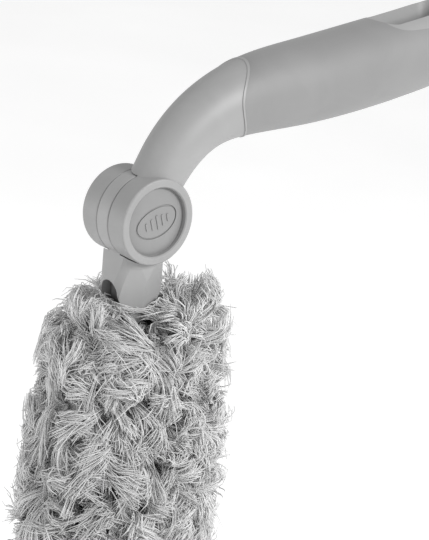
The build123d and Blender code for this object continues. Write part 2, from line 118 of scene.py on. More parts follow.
# ---- pile: how the tufts stand ----
UP = np.array([0.0, 0.0, 1.0])
MOUTH_RISE = 0.9           # upward part of the outward direction, beside a level part of 1
TIP_FALL = 1.4
COLLAR_RISE = 2.2
INNER_TURN = -0.7          # the inner ring faces the yoke
COLLAR_LEAN = (0.2, 1.6)   # inwards, beside a lean of 1 to any side
DROOP = 0.35               # downwards, beside a lean of 1 to any side
TUFT_REACH = (8 * MM, 20 * MM)
TUFT_FAN = (2.0 * MM, 5.5 * MM)
SHORT_SHARE = 0.30
SHORT_REACH = 0.6
SHORT_FULLNESS = 0.62
COLLAR_REACH = 0.55
COLLAR_FULLNESS = (0.7, 1.0)
UPRIGHT_SHARE = 0.42
UPRIGHT_REACH = 0.42
UPRIGHT_FAN = 1.35
UNDERCOAT_FULLNESS = 0.55
BULGE_JITTER = 0.06
# Between these angles the tufts by the mouth are thinner and hang, so that the yoke's tip shows.
FRONT_OPENING = (205.0, 270.0)
OPENING_BAND = 8 * MM
OPENING_FULLNESS = 0.62
OPENING_DROOP = 0.9
OPENING_RISE = 0.25
# Tufts with a place of their own: angle in degrees, drop below the mouth, lean, reach, fan and fullness.
PLACED_TUFTS = [
    (254.0, 3 * MM, (-0.62, 0.54, 0.66), 25 * MM, 3.0 * MM, 0.60),
    (256.0, 4 * MM, (-0.70, 0.60, 0.34), 27 * MM, 4.0 * MM, 0.75),
    (252.0, 6 * MM, (-0.76, 0.64, 0.00), 25 * MM, 4.5 * MM, 0.85),
    (250.0, 9 * MM, (-0.66, 0.55, -0.40), 20 * MM, 4.5 * MM, 0.85),
    (285.0, 0 * MM, (0.10, -0.25, 1.0), 10 * MM, 6.0 * MM, 0.9),
    (305.0, -1 * MM, (0.15, -0.25, 1.0), 12 * MM, 6.5 * MM, 1.0),
    (318.0, -1 * MM, (0.05, -0.10, 1.0), 11 * MM, 7.5 * MM, 0.9),
    (330.0, -1 * MM, (0.15, -0.10, 1.0), 11 * MM, 7.5 * MM, 1.0),
    (345.0, -1 * MM, (0.20, 0.05, 1.0), 8 * MM, 8.0 * MM, 0.9),
    (2.0, -1 * MM, (0.30, 0.10, 1.0), 7 * MM, 8.0 * MM, 0.9),
    (25.0, -1 * MM, (0.40, 0.20, 1.0), 7 * MM, 7.5 * MM, 0.9),
    (300.0, 6 * MM, (0.60, -0.35, 0.5), 16 * MM, 6.0 * MM, 1.0),
    (180.0, 0 * MM, (-0.30, 0.20, 1.0), 10 * MM, 6.0 * MM, 1.0),
    (200.0, 1 * MM, (-0.35, -0.10, 0.9), 9 * MM, 6.0 * MM, 0.9),
    (238.0, 34 * MM, (0.15, -0.15, -1.0), 24 * MM, 2.2 * MM, 1.0),
    (262.0, 12 * MM, (-0.10, -0.10, -1.0), 15 * MM, 2.8 * MM, 1.0),
    (232.0, 38 * MM, (-0.70, 0.45, -0.35), 22 * MM, 5.0 * MM, 1.0),
]

# ---- pile: locks and strands. A pair holds the least and the most of a random value. ----
LOCKS_PER_TUFT = 5
LOCK_FAN = 2.0             # half the spread of a tuft's locks, in fans
LOCK_REACH = (0.60, 1.15)
LOCK_HEIGHT = (0.62, 1.05)
LOCK_SPREAD = 0.75 * MM
STRANDS_PER_LOCK = 11
STRAND_POINTS = 7
STRAND_SIDES = 3
STRAND_RADIUS = 0.27 * MM
STRAND_WIDTH = (0.75, 1.25)
STRAND_TAPER = (0.8, 1.0, 1.0, 1.0, 0.95, 0.85, 0.45)
STRAND_HEIGHT = (0.90, 1.10)
STRAND_REACH = (0.86, 1.12)
PILE_HEIGHT = (11 * MM, 21 * MM)
ROOT_SPREAD = 0.9 * MM
STRAY_SHARE = 0.12
STRAY_AMOUNT = (1.0, 2.6)
TIP_SPREAD = 0.7 * MM
STRAY_SPREAD = 1.6
TIP_SAG = 0.15             # of the reach
# A strand curves from its root to its tip. Its first handle is almost straight out from the root.
FIRST_HEIGHT = (0.60, 0.78)
FIRST_SIDE = 0.12
SECOND_HEIGHT = 1.13
UPRIGHT_HEIGHT = 0.78
SECOND_FACTOR = (0.93, 1.08)
SECOND_REACH = 0.48
SECOND_SIDE = 0.55
HOOK = 1.6 * MM
WAVE = 0.55 * MM
LEAST_WAVE = 0.5
STRAY_WAVE = 0.8
PHASE_JITTER = 0.7         # radians
SIDE_TURNS = 1.25          # waves along a strand
OUT_TURNS = 1.05
OUT_WAVE = 0.7
# Keeps a straight strand from having no sideways direction.
GUIDE_NUDGE = 0.1 * np.array([0.013, 0.021, 0.017])

# ---- pile: its limits and tones ----
LIMIT_STIFFNESS = 0.85     # how much of the way back a strand past the side limit is drawn
BOTTOM_STIFFNESS = 0.8     # and one past the bottom
LIMIT_JITTER = 0.035
TOP_LEAN = 5.0 * MM        # the upper half leans towards the handle's side
LEAN_RUN = 90 * MM
CORE_CLEARANCE = 0.6 * MM
LEAST_CORE = 0.02
LEAST_INSIDE = 0.05        # keeps the move outwards finite on the axis
FRAME_RISE = 1.2 * MM      # above the mouth: the end of the frame's wide part, and the clearance
LEAST_AWAY = 0.05 * MM
STRAND_TONES = (0.60, 0.65, 0.70, 0.75)
TONE_STRIDE = 7            # gives neighbouring tufts different tones
SECTORS = ("front", "right", "left")
FRONT_SECTOR = math.radians(168.0)   # where the front third of the pile starts

# ---- bag under the pile ----
BAG_RINGS = 72
BAG_CORNERS = 96
BAG_WALL = 1.6 * MM
HEM_WALL = 1.2             # of the wall
HEM_DEPTH = 9 * MM
BAG_INSET = 0.6 * MM
TIP_MARGIN = 0.4 * MM
MOUTH_MARGIN = 0.2 * MM
SEAM_RELIEF = 0.35 * MM
GATHER_RELIEF = 0.45 * MM
GATHERS = 34
GATHER_FADE = 14           # the gathers end at one part in 14 of the bag's length


# ---------------------------------------------------------------- materials

def new_material(name, color, roughness):
    """Material, its node tree and its shader."""
    material = bpy.data.materials.new(name)
    material.use_nodes = True
    shader = material.node_tree.nodes["Principled BSDF"]
    shader.inputs["Base Color"].default_value = (*color, 1.0)
    shader.inputs["Roughness"].default_value = roughness
    return material, material.node_tree, shader


def coordinates(tree):
    """The object's own coordinates, in metres."""
    return tree.nodes.new("ShaderNodeTexCoord").outputs["Object"]


def noise(tree, scale, detail=3.0, distortion=0.0):
    """Cloudy value about 0.5. The scale is in features per metre."""
    node = tree.nodes.new("ShaderNodeTexNoise")
    node.inputs["Scale"].default_value = scale
    node.inputs["Detail"].default_value = detail
    node.inputs["Distortion"].default_value = distortion
    tree.links.new(coordinates(tree), node.inputs["Vector"])
    return node.outputs["Fac"]


def spread(tree, value, low, high):
    """Maps a 0 to 1 value to a range."""
    node = tree.nodes.new("ShaderNodeMapRange")
    node.inputs["To Min"].default_value = low
    node.inputs["To Max"].default_value = high
    tree.links.new(value, node.inputs["Value"])
    return node.outputs["Result"]


def tint(tree, value, dark, light):
    """Maps a value to a grey between two tones."""
    node = tree.nodes.new("ShaderNodeValToRGB")
    ends = node.color_ramp.elements
    ends[0].position = TINT_LOW
    ends[0].color = (*dark, 1.0)
    ends[1].position = TINT_HIGH
    ends[1].color = (*light, 1.0)
    tree.links.new(value, node.inputs["Fac"])
    return node.outputs["Color"]


def bump(tree, shader, height, strength, distance):
    """Raises the surface by a value, with the distance in metres."""
    node = tree.nodes.new("ShaderNodeBump")
    node.inputs["Strength"].default_value = strength
    node.inputs["Distance"].default_value = distance
    tree.links.new(height, node.inputs["Height"])
    tree.links.new(node.outputs["Normal"], shader.inputs["Normal"])


def add(tree, first, second, share):
    """The first value and a share of the second."""
    node = tree.nodes.new("ShaderNodeMath")
    node.operation = "MULTIPLY_ADD"
    node.inputs[1].default_value = share
    tree.links.new(second, node.inputs[0])
    tree.links.new(first, node.inputs[2])
    return node.outputs["Value"]


def grey(value):
    return (value, value, value)


def moulded_plastic(name, tone, roughness):
    """Satin moulding with fine spark-eroded grain, faint flow tones and rubbed patches."""
    material, tree, shader = new_material(name, grey(tone), roughness)
    fine = noise(tree, scale=2600.0, detail=2.0)
    patches = noise(tree, scale=55.0, detail=4.0, distortion=0.6)
    color = tint(tree, patches, dark=grey(tone * 0.955), light=grey(tone * 1.03))
    tree.links.new(color, shader.inputs["Base Color"])
    rubbed = noise(tree, scale=90.0, detail=5.0)
    rough = spread(tree, rubbed, low=roughness - 0.07, high=roughness + 0.07)
    tree.links.new(rough, shader.inputs["Roughness"])
    bump(tree, shader, fine, strength=0.35, distance=0.04 * MM)
    return material


def soft_rubber(name, tone):
    """Matt overmoulded rubber with a fine stipple and handling sheen."""
    material, tree, shader = new_material(name, grey(tone), roughness=0.58)
    stipple = noise(tree, scale=1700.0, detail=3.0)
    handled = noise(tree, scale=32.0, detail=4.0, distortion=0.8)
    color = tint(tree, handled, dark=grey(tone * 0.94), light=grey(tone * 1.05))
    tree.links.new(color, shader.inputs["Base Color"])
    rough = spread(tree, noise(tree, scale=60.0, detail=5.0), low=0.50, high=0.66)
    tree.links.new(rough, shader.inputs["Roughness"])
    shader.inputs["Sheen Weight"].default_value = 0.12
    bump(tree, shader, stipple, strength=0.5, distance=0.06 * MM)
    return material


def plated_steel(name):
    """Zinc plated steel with a fine grain and dull spots."""
    material, tree, shader = new_material(name, grey(0.55), roughness=0.34)
    shader.inputs["Metallic"].default_value = 1.0
    spots = noise(tree, scale=240.0, detail=5.0)
    color = tint(tree, spots, dark=grey(0.46), light=grey(0.63))
    tree.links.new(color, shader.inputs["Base Color"])
    tree.links.new(spread(tree, spots, low=0.26, high=0.46), shader.inputs["Roughness"])
    grain = noise(tree, scale=1500.0, detail=2.0)
    bump(tree, shader, grain, strength=0.4, distance=0.03 * MM)
    return material


def knitted(name, tone, scale):
    """Close knit: rows of loops from two crossed waves, with an uneven tone and a soft sheen."""
    material, tree, shader = new_material(name, grey(tone), roughness=0.9)
    waves = []
    for direction in ("X", "Z"):
        wave = tree.nodes.new("ShaderNodeTexWave")
        wave.bands_direction = direction
        wave.inputs["Scale"].default_value = scale
        wave.inputs["Distortion"].default_value = 1.2
        tree.links.new(coordinates(tree), wave.inputs["Vector"])
        waves.append(wave.outputs["Fac"])
    loops = add(tree, waves[0], waves[1], share=0.8)
    uneven = noise(tree, scale=700.0, detail=3.0)
    color = tint(tree, uneven, dark=grey(tone * 0.8), light=grey(tone * 1.15))
    tree.links.new(color, shader.inputs["Base Color"])
    shader.inputs["Sheen Weight"].default_value = 0.3
    bump(tree, shader, loops, strength=0.7, distance=0.4 * MM)
    return material


def strand_fibre(name, tone):
    """One tone of the cut strands: twisted fibres seen as fine ribs, matt with a soft sheen."""
    material, tree, shader = new_material(name, grey(tone), roughness=0.78)
    shader.inputs["Sheen Weight"].default_value = 0.22
    shader.inputs["Sheen Roughness"].default_value = 0.45
    ribs = noise(tree, scale=3200.0, detail=2.0, distortion=0.4)
    tree.links.new(spread(tree, ribs, low=0.66, high=0.92), shader.inputs["Roughness"])
    bump(tree, shader, ribs, strength=0.6, distance=0.08 * MM)
    return material


def floor_paint():
    """White studio floor, which glows a little so that it stays evenly pale."""
    material, tree, shader = new_material("studio_floor", grey(0.86), roughness=0.8)
    tone = tint(tree, noise(tree, scale=3.0), dark=grey(0.84), light=grey(0.88))
    tree.links.new(tone, shader.inputs["Base Color"])
    shader.inputs["Emission Color"].default_value = (1.0, 1.0, 1.0, 1.0)
    shader.inputs["Emission Strength"].default_value = FLOOR_GLOW
    return material


def paint(node, material):
    """Gives a CAD node its material."""
    mesh = frame["nodes"][node].data
    mesh.materials.clear()
    mesh.materials.append(material)


def paint_cad_nodes():
    """Materials of the CAD nodes that show as they are."""
    light = moulded_plastic("light_grey_plastic", tone=0.30, roughness=0.46)
    paints = {
        "handle_core": light,
        # Painted light: the yoke is the same light grey plastic, given a lighter tone to make up for the
        # shade that the pile casts on it.
        "yoke": moulded_plastic("yoke_plastic_painted_light", tone=0.33, roughness=0.46),
        "rear_cap": light,
        "button_bezel": light,
        "soft_grip": soft_rubber("grip_rubber", tone=0.225),
        # Painted shade: the button is the light grey plastic given a darker tone, standing in for the shade
        # on its domed face.
        "push_button": moulded_plastic("button_plastic", tone=0.240, roughness=0.42),
        "lock_gear": moulded_plastic("white_acetal", tone=0.72, roughness=0.42),
        "thrust_washer": moulded_plastic("washer_acetal", tone=0.20, roughness=0.42),
        # The frame's near-black tone is partly its own dark plastic and partly painted shade, standing in
        # for the shade inside the yoke's arch and by the mouth.
        "frame_front": moulded_plastic("dark_plastic", tone=0.08, roughness=0.55),
        "frame_rear": moulded_plastic("dark_plastic_rear", tone=0.08, roughness=0.55),
        "cuff_elastic": knitted("elastic_web", tone=0.5, scale=900.0),
    }
    steel = plated_steel("plated_steel")
    fittings = ("spring_seat", "return_spring", "screw_washer", "pivot_screw")
    for node in fittings + ("yoke_screws", "frame_screws", "frame_strip"):
        paints[node] = steel
    for node, material in paints.items():
        paint(node, material)


# ---------------------------------------------------------------- meshes

def mesh_object(name, vertices, loops, counts, material):
    """Smooth mesh object from flat arrays: loops holds the corner vertices, counts each face's corners."""
    mesh = bpy.data.meshes.new(name)
    mesh.vertices.add(len(vertices))
    mesh.vertices.foreach_set("co", np.asarray(vertices, np.float32).ravel())
    mesh.loops.add(len(loops))
    mesh.loops.foreach_set("vertex_index", np.asarray(loops, np.int32))
    mesh.polygons.add(len(counts))
    starts = np.concatenate(([0], np.cumsum(counts)[:-1])).astype(np.int32)
    mesh.polygons.foreach_set("loop_start", starts)
    mesh.polygons.foreach_set("use_smooth", np.full(len(counts), True))
    mesh.update(calc_edges=True)
    mesh.validate()
    mesh.materials.append(material)
    made = bpy.data.objects.new(name, mesh)
    bpy.context.scene.collection.objects.link(made)
    return made


def unit(vectors):
    """The same directions at length 1."""
    return vectors / np.maximum(np.linalg.norm(vectors, axis=-1, keepdims=True), TINY)


def tubes(name, paths, radii, material):
    """Closed tubes along many paths at once: paths is strands x points x 3."""
    strands, points = paths.shape[:2]
    along = unit(np.gradient(paths, axis=1))
    guide = unit(np.cross(along[:, 0], along[:, -1]) + GUIDE_NUDGE)[:, None, :]
    side = unit(np.cross(along, guide))
    up = np.cross(side, along)
    turns = np.arange(STRAND_SIDES) * ALL_ROUND / STRAND_SIDES
    ring = side[:, :, None, :] * np.cos(turns)[:, None] + up[:, :, None, :] * np.sin(turns)[:, None]
    vertices = paths[:, :, None, :] + ring * radii[:, :, None, None]
    index = np.arange(strands * points * STRAND_SIDES).reshape(strands, points, STRAND_SIDES)
    after = np.roll(index, -1, axis=2)
    walls = np.stack([index[:, :-1], after[:, :-1], after[:, 1:], index[:, 1:]], axis=-1).reshape(-1, 4)
    root_caps = index[:, 0, ::-1]
    tip_caps = index[:, -1]
    loops = np.concatenate([walls.ravel(), root_caps.ravel(), tip_caps.ravel()])
    counts = np.concatenate([np.full(len(walls), 4), np.full(2 * strands, STRAND_SIDES)])
    return mesh_object(name, vertices.reshape(-1, 3), loops, counts, material)


# ---------------------------------------------------------------- sleeve

class Yoke:
    """The yoke below the hub, as an upright rounded column that the strands stay out of."""

    centre = ((BACKING_LOW.x + BACKING_HIGH.x) / 2, (BACKING_LOW.y + BACKING_HIGH.y) / 2)
    half_x = 12.6 * MM
    half_y = 10.9 * MM
    squareness = 4         # 2 would be an ellipse
    tip_height = 15 * MM
    # Shares of the full width: at the tips, what the height adds, and the least that is kept.
    tip_width = 0.30
    height_gain = 0.70
    least_width = 0.62

    @classmethod
    def narrowing(cls, z):
        """Width at a height, as a share of the full width: the prongs narrow to their tips."""
        above = np.clip((z - YOKE_LOW.z) / cls.tip_height, 0, 1)
        return np.clip(cls.tip_width + cls.height_gain * np.sqrt(above), cls.least_width, 1.0)


class Core:
    """The padded bag under the pile, as ellipses stacked along Z with a domed tip."""

    centre_x = (BACKING_LOW.x + BACKING_HIGH.x) / 2
    centre_y = (BACKING_LOW.y + BACKING_HIGH.y) / 2
    half_x = (BACKING_HIGH.x - BACKING_LOW.x) / 2
    half_y = (BACKING_HIGH.y - BACKING_LOW.y) / 2
    bottom = BACKING_LOW.z
    top = CUFF_HIGH.z
    dome = 24 * MM         # height of the rounded tip
    shoulder = 20 * MM     # below the mouth, where the bag widens
    # Shares of the full width: at the mouth, and what the shoulder adds.
    mouth_width = 0.80
    shoulder_gain = 0.20

    @classmethod
    def share(cls, z):
        """Width at a height, as a share of the full width."""
        low = np.clip((np.asarray(z) - cls.bottom) / cls.dome, 0, 1)
        high = np.clip((cls.top - np.asarray(z)) / cls.shoulder, 0, 1)
        return np.sqrt(1 - (1 - low) ** 2) * (cls.mouth_width + cls.shoulder_gain * np.sqrt(high))


class Envelope:
    """The pile's outer limit: its width at some depths, from the top at 0 to the bottom at 1."""

    centre_x = (PILE_LOW.x + PILE_HIGH.x) / 2
    centre_y = (PILE_LOW.y + PILE_HIGH.y) / 2
    half_x = (PILE_HIGH.x - PILE_LOW.x) / 2
    half_y = (PILE_HIGH.y - PILE_LOW.y) / 2
    bottom = PILE_LOW.z
    top = PILE_HIGH.z
    levels = (0.0, 0.03, 0.10, 0.27, 0.49, 0.74, 0.90, 0.97, 1.0)
    widths = (0.60, 0.74, 0.84, 0.945, 1.0, 0.99, 0.87, 0.62, 0.30)

    @classmethod
    def share(cls, z):
        """Width at a height, as a share of the full width."""
        depth = np.clip((cls.top - np.asarray(z)) / (cls.top - cls.bottom), 0, 1)
        return np.interp(depth, cls.levels, cls.widths)


def sewn_rows(rng):
    """Angle and height of every tuft, in staggered sewn rows, closer together at the tip."""
    places = []
    height = Core.top - ROW_STEP * FIRST_ROW
    row = 0
    while height > Core.bottom + LAST_ROW:
        around = math.pi * (Core.half_x + Core.half_y) * float(Core.share(height))
        count = max(int(around / TUFT_STEP), FEWEST_IN_ROW)
        for i in range(count):
            angle = ALL_ROUND * (i + ROW_STAGGER * (row % 2)) / count + rng.normal(0, TURN_JITTER)
            places.append((angle, height + rng.normal(0, HEIGHT_JITTER)))
        near_tip = height < Core.bottom + Core.dome * TIP_PART
        height -= ROW_STEP * (TIP_STEP if near_tip else 1.0)
        row += 1
    return places


def undercoat_places(rng):
    """Angle and height of the short tufts between the rows, which hide the bag."""
    heights = rng.uniform(Core.bottom + UNDERCOAT_LOW, Core.top - UNDERCOAT_HIGH, UNDERCOAT_TUFTS)
    return list(zip(rng.uniform(0, ALL_ROUND, UNDERCOAT_TUFTS), heights))


def collar_places(rng):
    """Angle and height of the two rings of tufts along the mouth, which close round the yoke."""
    count = COLLAR_TUFTS * 2
    angles = []
    for i in range(count):
        stagger = COLLAR_STAGGER * (i // COLLAR_TUFTS)
        angles.append(2 * ALL_ROUND * (i + stagger) / count + rng.normal(0, COLLAR_TURN_JITTER))
    return [(angle, Core.top + rng.normal(0, COLLAR_HEIGHT_JITTER)) for angle in angles]


class Tufts:
    """Arrays with a row for each tuft.

    They hold its root, its outward, lean, level and rise directions, its reach, fan, fullness, bulge
    and hook, and whether it is upright. Angles go round the bag from +X towards +Y.
    """

    def __init__(self, rng):
        self.find_places(rng)
        self.set_roots()
        self.aim(rng)
        self.measure(rng)
        self.open_front()
        self.place_by_hand()
        self.bulge = 1 + rng.normal(0, BULGE_JITTER, self.count)
        self.hook = rng.normal(0, 1.0, self.count)

    def find_places(self, rng):
        """Angles, heights and kinds: sewn rows, undercoat, the collar's two rings, and the listed tufts."""
        rows = sewn_rows(rng)
        under = undercoat_places(rng)
        collar = collar_places(rng)
        placed = [(math.radians(angle), Core.top - drop) for angle, drop, *_ in PLACED_TUFTS]
        self.angles, self.heights = np.array(rows + under + collar + placed).T
        self.count = len(self.angles)
        kinds = ("row", "under", "outer", "inner", "placed")
        kind = np.repeat(kinds, (len(rows), len(under), COLLAR_TUFTS, COLLAR_TUFTS, len(placed)))
        self.under = kind == "under"
        self.inner = kind == "inner"
        self.in_collar = (kind == "outer") | self.inner
        self.placed = kind == "placed"

    def set_roots(self):
        """Roots on the bag, with the collar drawn in towards the yoke."""
        cos, sin = np.cos(self.angles), np.sin(self.angles)
        collar = np.where(self.in_collar, COLLAR_WIDTH, 1.0)
        share = Core.share(self.heights) * collar * np.where(self.inner, INNER_WIDTH, 1.0)
        self.radial = unit(np.stack([cos / Core.half_x, sin / Core.half_y, 0 * self.angles], axis=1))
        x = Core.centre_x + Core.half_x * share * cos
        y = Core.centre_y + Core.half_y * share * sin
        self.roots = np.stack([x, y, self.heights], axis=1)

    def aim(self, rng):
        """Directions: out from the bag, with a random lean that hangs except by the mouth."""
        tip_part = 1 - np.clip((self.heights - Core.bottom) / Core.dome, 0, 1)
        mouth_part = 1 - np.clip((Core.top - self.heights) / MOUTH_BAND, 0, 1)
        outward = self.radial.copy()
        outward[:, 2] = mouth_part * MOUTH_RISE - tip_part * TIP_FALL
        outward[self.in_collar, 2] = COLLAR_RISE
        outward[self.inner, :2] *= INNER_TURN
        self.outward = unit(outward)
        # The small sum gives a tuft that points straight up a level direction too.
        self.level = unit(np.cross(self.outward, UP) + 1e-6)
        self.rise = np.cross(self.level, self.outward)
        turn = rng.uniform(0, ALL_ROUND, self.count)
        lean = self.level * np.cos(turn)[:, None] + self.rise * np.sin(turn)[:, None]
        lean[:, 2] -= DROOP * (1 - mouth_part)
        inward = np.where(self.in_collar, rng.uniform(*COLLAR_LEAN, self.count), 0.0)
        self.lean = unit(lean - self.radial * inward[:, None])

    def measure(self, rng):
        """Reach, fan and fullness, with some tufts short and some upright."""
        short = (rng.random(self.count) < SHORT_SHARE) & ~self.in_collar
        below_mouth = self.heights < Core.top - MOUTH_BAND / 2
        upright = (rng.random(self.count) < UPRIGHT_SHARE) & ~self.in_collar & below_mouth
        upright[self.placed] = False
        self.upright = upright | self.under
        reach = rng.uniform(*TUFT_REACH, self.count) * np.where(short, SHORT_REACH, 1.0)
        reach = reach * np.where(self.in_collar, COLLAR_REACH, 1.0)
        self.reach = reach * np.where(self.upright, UPRIGHT_REACH, 1.0)
        self.fan = rng.uniform(*TUFT_FAN, self.count) * np.where(self.upright, UPRIGHT_FAN, 1.0)
        collar = np.where(self.in_collar, rng.uniform(*COLLAR_FULLNESS, self.count), 1.0)
        self.fullness = np.where(short, SHORT_FULLNESS, 1.0) * collar

    def open_front(self):
        """Thins and lowers the tufts below the yoke's tip, and sets the undercoat's fullness."""
        low, high = (math.radians(angle) for angle in FRONT_OPENING)
        turned = np.mod(self.angles, ALL_ROUND)
        opened = (turned > low) & (turned < high) & (self.heights > Core.top - OPENING_BAND)
        fullness = np.where(opened, self.fullness * OPENING_FULLNESS, self.fullness)
        self.fullness = np.where(self.under, UNDERCOAT_FULLNESS, fullness)
        self.lean[opened, 2] -= OPENING_DROOP
        self.outward[opened, 2] = np.minimum(self.outward[opened, 2], OPENING_RISE)
        self.outward = unit(self.outward)
        self.lean = unit(self.lean)

    def place_by_hand(self):
        """Lean, reach, fan and fullness of the tufts that have a place of their own."""
        for i, (_, _, way, reach, fan, fullness) in zip(np.flatnonzero(self.placed), PLACED_TUFTS):
            self.lean[i] = np.array(way) / np.linalg.norm(way)
            self.reach[i] = reach
            self.fan[i] = fan
            self.fullness[i] = fullness


class Locks:
    """Arrays with a row for each lock: its tuft, and its place, reach, height and wave in it."""

    def __init__(self, rng, tufts):
        count = tufts.count * LOCKS_PER_TUFT
        self.tuft = np.repeat(np.arange(tufts.count), LOCKS_PER_TUFT)
        self.side = rng.uniform(-1, 1, count) * tufts.fan[self.tuft] * LOCK_FAN
        self.reach = tufts.reach[self.tuft] * rng.uniform(*LOCK_REACH, count)
        self.height = rng.uniform(*LOCK_HEIGHT, count)
        self.curl = rng.normal(0, 1.0, count)
        self.phase = rng.uniform(0, ALL_ROUND, count)


def clear_frame(paths):
    """Moves points that lie inside the flat, round-edged frame out to its surface."""
    centre_x = (FRAME_LOW.x + FRAME_HIGH.x) / 2
    centre_y = (FRAME_LOW.y + FRAME_HIGH.y) / 2
    radius = (FRAME_HIGH.y - FRAME_LOW.y) / 2 + CORE_CLEARANCE
    flat = (FRAME_HIGH.x - FRAME_LOW.x) / 2 + CORE_CLEARANCE - radius
    x = paths[..., 0] - centre_x
    y = paths[..., 1] - centre_y
    near = np.clip(x, -flat, flat)
    away = np.maximum(np.hypot(x - near, y), LEAST_AWAY)
    inside = (away < radius) & (paths[..., 2] < Core.top + FRAME_RISE)
    factor = np.where(inside, radius / away, 1.0)
    paths[..., 0] = centre_x + near + (x - near) * factor
    paths[..., 1] = centre_y + y * factor


def push_out(paths, centre, half_x, half_y, mask, power=2):
    """Moves points that lie inside an upright rounded column out to its surface."""
    x = (paths[..., 0] - centre[0]) / half_x
    y = (paths[..., 1] - centre[1]) / half_y
    inside = (np.abs(x) ** power + np.abs(y) ** power) ** (1 / power)
    factor = np.where(mask & (inside < 1), 1 / np.maximum(inside, LEAST_INSIDE), 1.0)
    paths[..., 0] = centre[0] + (paths[..., 0] - centre[0]) * factor
    paths[..., 1] = centre[1] + (paths[..., 1] - centre[1]) * factor


def pull_in(paths, bulge):
    """Draws points that lie outside the pile's limit most of the way back to it."""
    limit = Envelope.share(paths[..., 2]) * bulge
    x = (paths[..., 0] - Envelope.centre_x) / (Envelope.half_x * limit)
    y = (paths[..., 1] - Envelope.centre_y) / (Envelope.half_y * limit)
    outside = np.sqrt(x * x + y * y)
    pull = 1 - (1 - np.where(outside > 1, 1 / outside, 1.0)) * LIMIT_STIFFNESS
    paths[..., 0] = Envelope.centre_x + (paths[..., 0] - Envelope.centre_x) * pull
    paths[..., 1] = Envelope.centre_y + (paths[..., 1] - Envelope.centre_y) * pull
    below = np.minimum(paths[..., 2] - Envelope.bottom, 0.0)
    paths[..., 2] -= below * BOTTOM_STIFFNESS


def lean_top(paths):
    """Moves the pile's upper part towards the handle's side, more the higher it is."""
    paths[..., 0] += TOP_LEAN * np.clip((paths[..., 2] - Core.top) / LEAN_RUN + 1, 0, 1)


def keep_clear(paths):
    """Moves the strands out of the bag, the frame and the yoke."""
    z = paths[..., 2]
    core_share = np.maximum(Core.share(z), LEAST_CORE)
    half_x = Core.half_x * core_share + CORE_CLEARANCE
    half_y = Core.half_y * core_share + CORE_CLEARANCE
    beside_core = (z < Core.top) & (z > Core.bottom)
    push_out(paths, (Core.centre_x, Core.centre_y), half_x, half_y, beside_core)
    clear_frame(paths)
    half_x = Yoke.half_x * Yoke.narrowing(z)
    half_y = Yoke.half_y * Yoke.narrowing(z)
    push_out(paths, Yoke.centre, half_x, half_y, z > Core.top, Yoke.squareness)


def curve(start, first, second, tip):
    """Points along many curves at once, each with two handles between its ends."""
    t = np.linspace(0, 1, STRAND_POINTS)[None, :, None]
    return (
        start[:, None] * (1 - t) ** 3
        + first[:, None] * 3 * t * (1 - t) ** 2
        + second[:, None] * 3 * t * t * (1 - t)
        + tip[:, None] * t**3
    )


def strand_roots(rng, tufts, tuft):
    """Start of every strand, spread round its tuft's root."""
    count = len(tuft)
    sideways = tufts.level[tuft] * rng.normal(0, ROOT_SPREAD, (count, 1))
    return tufts.roots[tuft] + sideways + tufts.rise[tuft] * rng.normal(0, ROOT_SPREAD, (count, 1))


def strand_curves(rng, tufts, locks, lock):
    """Points of every strand before the limits: up from its root, over, and out in its tuft's fan."""
    count = len(lock)
    tuft = locks.tuft[lock]
    out, way = tufts.outward[tuft], tufts.lean[tuft]
    across = np.cross(out, way)
    start = strand_roots(rng, tufts, tuft)
    root_height = tufts.roots[tuft][:, 2]
    room = Envelope.half_x * Envelope.share(root_height) - Core.half_x * Core.share(root_height)
    stray = np.where(rng.random(count) < STRAY_SHARE, rng.uniform(*STRAY_AMOUNT, count), 0.0)
    height = np.clip(room, *PILE_HEIGHT) * tufts.fullness[tuft] * locks.height[lock]
    height = height * rng.uniform(*STRAND_HEIGHT, count)
    side = locks.side[lock] + rng.normal(0, LOCK_SPREAD, count) * (1 + stray)
    forward = locks.reach[lock] * rng.uniform(*STRAND_REACH, count)

    tip = start + out * height[:, None] + way * forward[:, None] + across * side[:, None]
    tip += rng.normal(0, TIP_SPREAD, (count, 3)) * (1 + STRAY_SPREAD * stray[:, None])
    tip[:, 2] -= TIP_SAG * forward
    first = start + out * (height * rng.uniform(*FIRST_HEIGHT, count))[:, None]
    first = first + across * (side * FIRST_SIDE)[:, None]
    arch = np.where(tufts.upright[tuft], UPRIGHT_HEIGHT, SECOND_HEIGHT) * rng.uniform(*SECOND_FACTOR, count)
    second = start + out * (height * arch)[:, None]
    second += way * (forward * SECOND_REACH)[:, None]
    second += across * (side * SECOND_SIDE + tufts.hook[tuft] * HOOK)[:, None]
    paths = curve(start, first, second, tip)

    along = np.linspace(0, 1, STRAND_POINTS)[None, :]
    phase = locks.phase[lock][:, None] + rng.normal(0, PHASE_JITTER, (count, 1))
    swing = (WAVE * (LEAST_WAVE + np.abs(locks.curl[lock])))[:, None] * along
    swing = swing * (1 + STRAY_WAVE * stray[:, None])
    side_wave = swing * np.sin(ALL_ROUND * SIDE_TURNS * along + phase)
    out_wave = OUT_WAVE * swing * np.cos(ALL_ROUND * OUT_TURNS * along + phase)
    paths += across[:, None, :] * side_wave[..., None]
    paths += out[:, None, :] * out_wave[..., None]
    return paths


def strand_paths(rng):
    """Path, thickness and tone of every strand.

    The strands of one tuft stay together in a few locks, as twisted yarn does, and open at their ends.
    """
    tufts = Tufts(rng)
    locks = Locks(rng, tufts)
    lock = np.repeat(np.arange(len(locks.tuft)), STRANDS_PER_LOCK)
    tuft = locks.tuft[lock]
    count = len(lock)
    paths = strand_curves(rng, tufts, locks, lock)
    pull_in(paths, tufts.bulge[tuft][:, None] + rng.normal(0, LIMIT_JITTER, (count, 1)))
    lean_top(paths)
    keep_clear(paths)
    radii = STRAND_RADIUS * rng.uniform(*STRAND_WIDTH, (count, 1)) * np.array(STRAND_TAPER)
    tones = len(STRAND_TONES)
    tone_of = np.clip(tuft * TONE_STRIDE % tones + rng.integers(-1, 2, count), 0, tones - 1)
    return paths, radii, tone_of


